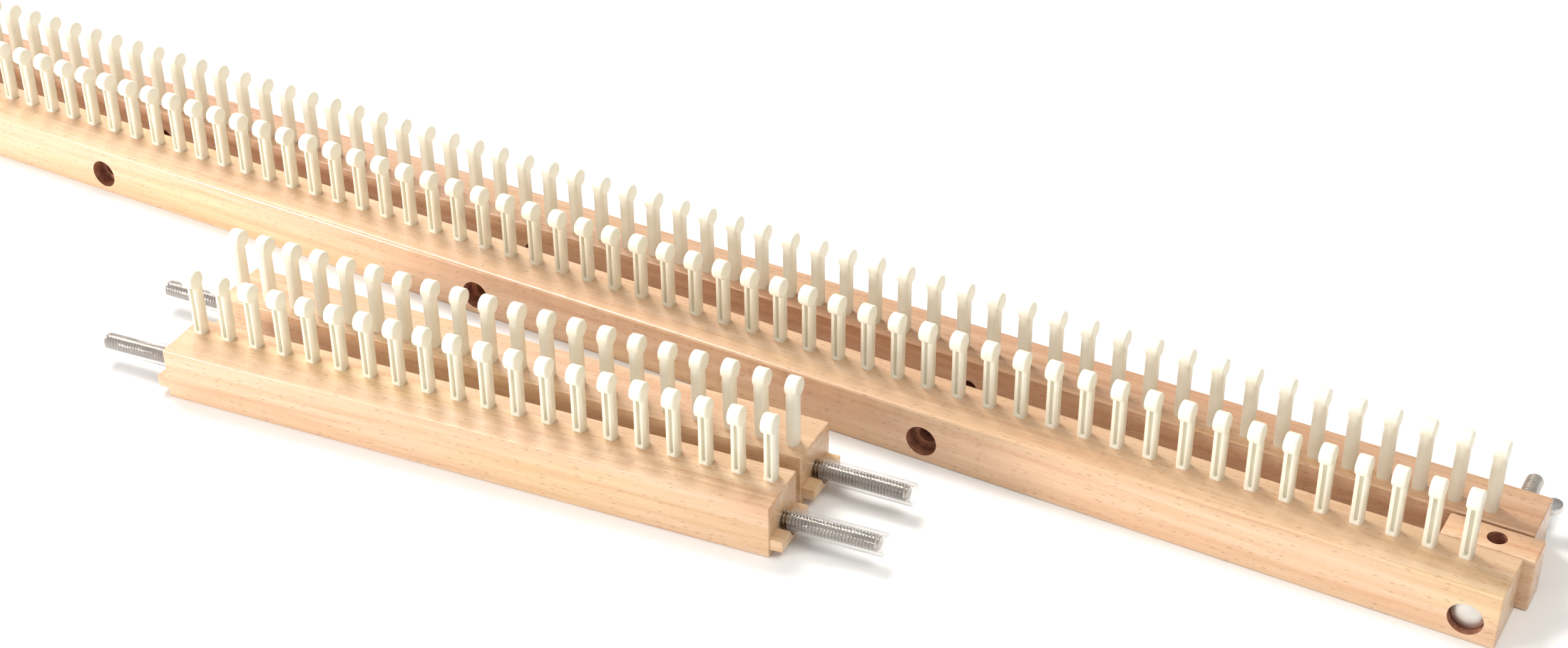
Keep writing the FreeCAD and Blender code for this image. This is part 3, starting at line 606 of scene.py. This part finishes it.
# ---------------------------------------------------------------------------------------------
# Pegs
# ---------------------------------------------------------------------------------------------
def make_peg_mesh():
    """One peg on the board's top face, groove towards -Y, cut in millimetres and then scaled to metres."""
    width, depth, height, head_radius, head_width, rim_round, slot_width = [
        size / MM for size in (PEG_WIDTH, PEG_DEPTH, PEG_HEAD_HEIGHT, PEG_HEAD_RADIUS, PEG_HEAD_WIDTH,
                               PEG_HEAD_RIM, PEG_GROOVE_WIDTH)]
    front, back = PEG_FRONT_CORNER / MM, PEG_BACK_CORNER / MM
    section = rounded_outline((-width / 2, -depth / 2), (width / 2, depth / 2), (back, back, front, front), 7)
    shaft = face_outwards(prism("peg", section, -PEG_SEAT, height, [peg_plastic]))
    slot_radius = slot_width / 2
    slot_foot = PEG_GROOVE_FOOT / MM + slot_radius
    slot_top = height - PEG_GROOVE_STOP * head_radius
    outline = arc((0, slot_foot), slot_radius, 180, 360, 10)
    outline += [(slot_radius, slot_top), (-slot_radius, slot_top)]
    cutter = prism("peg_slot", outline, -depth, PEG_GROOVE_DEPTH / MM - depth / 2, [peg_plastic])
    upright = Matrix(((1, 0, 0, 0), (0, 0, 1, 0), (0, 1, 0, 0), (0, 0, 0, 1)))
    combine(shaft, [face_outwards(place(cutter, upright))], "DIFFERENCE")

    half = head_width / 2
    flat = half - rim_round
    rim = head_radius - rim_round
    profile = [(-half, 0.0), (-half, 0.5 * rim)]
    profile += arc((-flat, rim), rim_round, 180, 90, 5)
    profile += arc((flat, rim), rim_round, 90, 0, 5)
    profile += [(half, 0.5 * rim), (half, 0.0)]
    head = turned("peg_head", profile, 40, [peg_plastic])
    place(head, Matrix.Translation((0, -PEG_HEAD_FORWARD / MM, height)))
    combine(shaft, [head], "UNION")
    round_off(shaft, PEG_EDGE, 2, 45)
    if not shaft.data.vertices:
        raise RuntimeError("the peg's mesh came out empty")
    place(shaft, Matrix.Scale(MM, 4))
    smooth(shaft, 40)
    mesh = shaft.data
    bpy.data.objects.remove(shaft)
    return mesh


def peg_row(node, board, count, side, body, peg_mesh):
    """All pegs of one board as one piece; side is +1 when the pegs stand nearer +Y with grooves to -Y."""
    work = bmesh.new()
    row_y = side * (BOARD_WIDTH / 2 - PEG_ROW_SETBACK)
    for index in range(count):
        x = (index - (count - 1) / 2) * PEG_PITCH
        spot = Matrix.Translation((x, row_y, BOARD_HEIGHT))
        if side < 0:
            spot = spot @ Matrix.Rotation(math.pi, 4, "Z")
        one = peg_mesh.copy()
        one.transform(spot)
        work.from_mesh(one)
        bpy.data.meshes.remove(one)
    row = to_object(node + "_moulded", work, [peg_plastic])
    row.matrix_world = board_matrix(board)
    finish_piece(row, body, node)


# ---------------------------------------------------------------------------------------------
# Boards and spacer blocks
# ---------------------------------------------------------------------------------------------
def wood_bar(name, length, wood, outer=0):
    """A bar along X; outer is the sign of Y where its top edge has the large rounding, or 0 for none."""
    half = BOARD_WIDTH / 2
    rear_top = OUTER_EDGE if outer > 0 else BOARD_EDGE
    front_top = OUTER_EDGE if outer < 0 else BOARD_EDGE
    corners = (rear_top, front_top, BOARD_EDGE, BOARD_EDGE)
    section = rounded_outline((-half, 0), (half, BOARD_HEIGHT), corners, 8)
    bar = prism(name, section, -length / 2, length / 2, [wood])
    lay_along_x = Matrix(((0, 0, 1, 0), (1, 0, 0, 0), (0, 1, 0, 0), (0, 0, 0, 1)))
    place(bar, lay_along_x)
    return round_off(face_outwards(bar), BOARD_END, 3, 60)


def main_board(node, body, outer):
    """A full-length board with its five bolt holes, which are counterbored in the front board."""
    board = wood_bar(node + "_beech", MAIN_LENGTH, board_woods[node], outer)
    half = BOARD_WIDTH / 2
    drills = []
    for station in range(BOLT_STATIONS):
        x = (station - (BOLT_STATIONS - 1) / 2) * BOLT_STATION_STEP
        drills.append(rod_along_y("drill", BOLT_HOLE_RADIUS, -2 * half, 2 * half,
                                  x, BOLT_HEIGHT, [shaded_hole_wood]))
        if outer < 0:
            drills.append(rod_along_y("drill", COUNTERBORE_RADIUS, -2 * half, COUNTERBORE_DEPTH - half,
                                      x, BOLT_HEIGHT, [shaded_hole_wood], 64))
    combine(board, drills, "DIFFERENCE")
    smooth(board, 30)
    board.matrix_world = board_matrix(node)
    finish_piece(board, body, node)


def extension_board(node, body):
    """A short board with a tongue, a sleeve seat and a rod hole in each end."""
    wood = board_woods[node]
    board = wood_bar(node + "_beech", EXTENSION_LENGTH, wood)
    half = EXTENSION_LENGTH / 2
    side = BOARD_WIDTH / 2 - BOARD_END
    tongues = block("tongues", (-half - TONGUE_REACH, -side, TONGUE_BASE),
                    (half + TONGUE_REACH, side, TONGUE_TOP), [wood])
    round_off(tongues, TONGUE_EDGE, 2)
    combine(board, [tongues], "UNION")
    reach = half + 2 * TONGUE_REACH
    seat = SLEEVE_BORE + SLEEVE_WALL + SLEEVE_SEAT_CLEARANCE
    hole = THREAD_RADIUS + ROD_HOLE_CLEARANCE
    drills = []
    for end in (1, -1):
        low, high = sorted((end * half, end * reach))
        drills.append(rod_along_x("drill", seat, low, high, ROD_HEIGHT, [wood]))
        low, high = sorted((end * (half - ROD_DEPTH), end * reach))
        drills.append(rod_along_x("drill", hole, low, high, ROD_HEIGHT, [shaded_hole_wood]))
    combine(board, drills, "DIFFERENCE")
    smooth(board, 30)
    board.matrix_world = board_matrix(node)
    finish_piece(board, body, node)


def spacer_block(side_name):
    """The block between the boards, with the bolt's hole and an upright hole that crosses it."""
    node = side_name + "_spacer_block"
    low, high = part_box(node)
    wood = board_woods[node]
    spacer = round_off(block(node + "_beech", low, high, [wood]), SPACER_EDGE, 4)
    centre = hinge_point(side_name + "_spacer_turn")
    across = rod_along_y("drill", BOLT_HOLE_RADIUS, low.y - MM, high.y + MM, centre.x, centre.z, [shaded_hole_wood])
    upright = turned("drill", [(low.z - MM, 0), (low.z - MM, BOLT_HOLE_RADIUS),
                               (high.z + MM, BOLT_HOLE_RADIUS), (high.z + MM, 0)], 48, [shaded_hole_wood])
    place(upright, Matrix.Translation((centre.x, centre.y, 0)) @ Matrix.Rotation(-math.pi / 2, 4, "Y"))
    combine(spacer, [across, upright], "DIFFERENCE")
    smooth(spacer, 30)
    finish_piece(spacer, side_name + "_spacer", node)


# ---------------------------------------------------------------------------------------------
# Bolts, wing nuts, rods and sleeves
# ---------------------------------------------------------------------------------------------
ALONG_Y = Matrix(((0, -1, 0, 0), (1, 0, 0, 0), (0, 0, 1, 0), (0, 0, 0, 1)))


def carriage_bolt(side_name):
    """Domed head and a threaded shank along +Y."""
    node = side_name + "_carriage_bolt"
    low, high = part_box(node)
    head_face = low.y + BOLT_HEAD_RISE
    axis = hinge_point(side_name + "_wing_nut_spin")
    dome = BOLT_HEAD_RISE - BOLT_HEAD_RIM
    radius = (BOLT_HEAD_RADIUS ** 2 + dome ** 2) / (2 * dome)
    widest = math.degrees(math.asin((BOLT_HEAD_RADIUS - HEAD_EDGE) / radius))
    profile = [(-BOLT_HEAD_RISE, 0.0)]
    for step in range(1, 13):
        turn = math.radians(widest * step / 12)
        profile.append((radius * (1 - math.cos(turn)) - BOLT_HEAD_RISE, radius * math.sin(turn)))
    rim_top = profile[-1][0] + HEAD_EDGE
    profile += arc((rim_top, BOLT_HEAD_RADIUS - HEAD_EDGE), HEAD_EDGE, 170, 90, 5)
    profile += [(-HEAD_CHAMFER, BOLT_HEAD_RADIUS), (0.0, BOLT_HEAD_RADIUS - HEAD_CHAMFER), (0.0, 0.0)]
    bolt = turned(node + "_steel", profile, 64, [bolt_steel])
    shank = threaded_bar("shank", -SHANK_SEAT, high.y - head_face, SHANK_PLAIN, [bolt_steel])
    merge(bolt, shank)
    smooth(bolt, 30)
    place(bolt, Matrix.Translation((axis.x, head_face, axis.z)) @ ALONG_Y)
    finish_piece(bolt, "front_frame", node)


def merge(obj, other):
    """Join another object's mesh into the first one, and use the other one up."""
    work = bmesh.new()
    work.from_mesh(obj.data)
    work.from_mesh(other.data)
    work.to_mesh(obj.data)
    work.free()
    bpy.data.objects.remove(other)


def wing_outline():
    """Both wings as one closed outline, centred on the bolt's axis (y runs along the axis)."""
    centre = (WING_REACH - WING_LOBE, WING_TOP - WING_LOBE)
    right = [WING_ROOT_LOW] + arc(centre, WING_LOBE, -75, 118, 22) + [WING_ROOT_HIGH]
    left = [(-x, y) for x, y in reversed(right)]
    return right + left


def wing_nut(side_name):
    """A cast wing nut: a hub with two round lobes, softened all over."""
    node = side_name + "_wing_nut"
    axis = hinge_point(side_name + "_wing_nut_spin")
    hub = turned("hub", [(0.0, 0.0), *NUT_PROFILE, (NUT_HEIGHT, 0.0)], 56, [nut_steel])
    place(hub, ALONG_Y)
    wings = prism("wings", wing_outline(), -WING_HALF_THICKNESS, WING_HALF_THICKNESS, [nut_steel])
    face_outwards(wings)
    nut = combine(hub, [wings], "UNION")
    nut.name = node + "_cast"
    remesh = nut.modifiers.new("soften", "REMESH")
    remesh.mode = "VOXEL"
    remesh.voxel_size = NUT_VOXEL
    calm = nut.modifiers.new("calm", "SMOOTH")
    calm.factor = 0.5
    calm.iterations = 6
    bake_modifiers(nut)
    bore = rod_along_y("bore", THREAD_RADIUS + NUT_CLEARANCE, -2 * NUT_HEIGHT, 2 * NUT_HEIGHT,
                       0, 0, [nut_steel])
    combine(nut, [bore], "DIFFERENCE")
    nut.data.materials.clear()
    nut.data.materials.append(nut_steel)
    for polygon in nut.data.polygons:
        polygon.material_index = 0
    smooth(nut, 40)
    turn = Matrix.Rotation(math.radians(NUT_TURN), 4, "Y")
    place(nut, Matrix.Translation(axis) @ turn)
    finish_piece(nut, side_name + "_nut", node)


def sleeve_tube(name):
    """A tube along X with softened ends, from SLEEVE_START to SLEEVE_STOP."""
    start, stop, lip = SLEEVE_START, SLEEVE_STOP, SLEEVE_LIP
    bore = SLEEVE_BORE
    outer = bore + SLEEVE_WALL
    ring = [(start + lip, outer), (stop - lip, outer), (stop, outer - lip), (stop, bore + lip),
            (stop - lip, bore), (start + lip, bore), (start, bore + lip), (start, outer - lip)]
    steps = 64
    count = len(ring)
    points = []
    faces = []
    for step in range(steps):
        angle = 2 * math.pi * step / steps
        points += [(a, r * math.cos(angle), r * math.sin(angle)) for a, r in ring]
        shift = ((step + 1) % steps - step) * count
        for index in range(count):
            a = step * count + index
            b = step * count + (index + 1) % count
            faces.append((a, b, b + shift, a + shift))
    return face_outwards(to_object(name, (points, faces), [clear_plastic]))


def extension_hardware(board_name, side_name, end):
    """A threaded rod and its clear sleeve at one end of an extension board; end is the sign of its X."""
    prefix = "extension_%s_%s" % (board_name, side_name)
    board = board_matrix("extension_%s_board" % board_name)
    turn = Matrix.Rotation(0.0 if end > 0 else math.pi, 4, "Z")
    to_end = board @ turn @ Matrix.Translation((EXTENSION_LENGTH / 2, 0, ROD_HEIGHT))
    rod = threaded_bar(prefix + "_reflection_tinted_rod_steel", -ROD_DEPTH, ROD_REACH, -ROD_THREAD_DEPTH, [reflection_tinted_rod_steel])
    smooth(rod, 30)
    place(rod, to_end)
    finish_piece(rod, "extension_" + board_name, prefix + "_rod")
    sleeve = sleeve_tube(prefix + "_sleeve_tube")
    smooth(sleeve, 50)
    place(sleeve, to_end)
    finish_piece(sleeve, prefix + "_cover", prefix + "_sleeve")


# ---------------------------------------------------------------------------------------------
# Assembly
# ---------------------------------------------------------------------------------------------
peg = make_peg_mesh()
peg_row("front_pegs", "front_board", MAIN_PEGS, 1, "front_frame", peg)
peg_row("rear_pegs", "rear_board", MAIN_PEGS, -1, "rear_frame", peg)
main_board("front_board", "front_frame", -1)
main_board("rear_board", "rear_frame", 1)
for board_name, side in (("front", 1), ("rear", -1)):
    extension = "extension_" + board_name
    extension_board(extension + "_board", extension)
    peg_row(extension + "_pegs", extension + "_board", EXTENSION_PEGS, side, extension, peg)
    extension_hardware(board_name, "right", 1)
    extension_hardware(board_name, "left", -1)
for side_name in ("right", "left"):
    carriage_bolt(side_name)
    wing_nut(side_name)
    spacer_block(side_name)
bpy.data.meshes.remove(peg)


# ---------------------------------------------------------------------------------------------
# Floor, light and camera
# ---------------------------------------------------------------------------------------------
def add_area_light(name, location, target, size, power, colour):
    """A soft rectangular light that looks at a target."""
    data = bpy.data.lights.new(name, "AREA")
    data.shape = "RECTANGLE"
    data.size, data.size_y = size
    data.energy = power
    data.color = colour
    light = bpy.data.objects.new(name, data)
    bpy.context.scene.collection.objects.link(light)
    aim = Vector(target) - Vector(location)
    light.matrix_world = Matrix.Translation(location) @ aim.to_track_quat("-Z", "Y").to_matrix().to_4x4()


def add_world():
    """White surroundings whose strength grows from behind the loom towards its front."""
    world = bpy.data.worlds.new("studio")
    bpy.context.scene.world = world
    world.use_nodes = True
    tree = world.node_tree
    backdrop = tree.nodes["Background"]
    backdrop.inputs["Color"].default_value = (1.0, 1.0, 1.0, 1.0)
    direction = tree.nodes.new("ShaderNodeTexCoord")
    facing = tree.nodes.new("ShaderNodeVectorMath")
    facing.operation = "DOT_PRODUCT"
    facing.inputs[1].default_value = WORLD_FRONT
    spread = tree.nodes.new("ShaderNodeMapRange")
    spread.inputs["From Min"].default_value = -1.0
    spread.inputs["To Min"].default_value = WORLD_BEHIND
    spread.inputs["To Max"].default_value = WORLD_IN_FRONT
    tree.links.new(direction.outputs["Generated"], facing.inputs[0])
    tree.links.new(facing.outputs["Value"], spread.inputs["Value"])
    tree.links.new(spread.outputs["Result"], backdrop.inputs["Strength"])


def add_camera():
    """A camera at the photograph's angle."""
    data = bpy.data.cameras.new("camera")
    data.lens = CAMERA_LENS
    data.sensor_width = 36.0
    data.shift_y = CAMERA_SHIFT_UP
    data.clip_start = 0.01
    camera = bpy.data.objects.new("camera", data)
    bpy.context.scene.collection.objects.link(camera)
    axes = Matrix((CAMERA_RIGHT, CAMERA_UP, CAMERA_RIGHT.cross(CAMERA_UP))).transposed()
    camera.matrix_world = Matrix.Translation(CAMERA_LOCATION) @ axes.to_4x4()
    bpy.context.scene.camera = camera


floor = block("floor", (-FLOOR_HALF, -FLOOR_HALF, -FLOOR_THICKNESS), (FLOOR_HALF, FLOOR_HALF, 0),
              [make_floor_paint("pale_floor")])
add_world()
add_area_light("key", (-1.30, -1.50, 0.40), (-0.12, 0, 0.01), (0.5, 0.4), 33.0, (1.0, 0.985, 0.97))
add_area_light("top", (-0.75, 0.45, 1.35), (0, 0, 0), (0.6, 0.6), 28.0, (1.0, 0.985, 0.96))
add_area_light("right_top", (0.70, -0.10, 0.95), (0.36, 0, 0), (0.5, 0.5), 4.0, (1.0, 0.97, 0.90))
add_camera()
bpy.context.scene.view_settings.view_transform = "Standard"
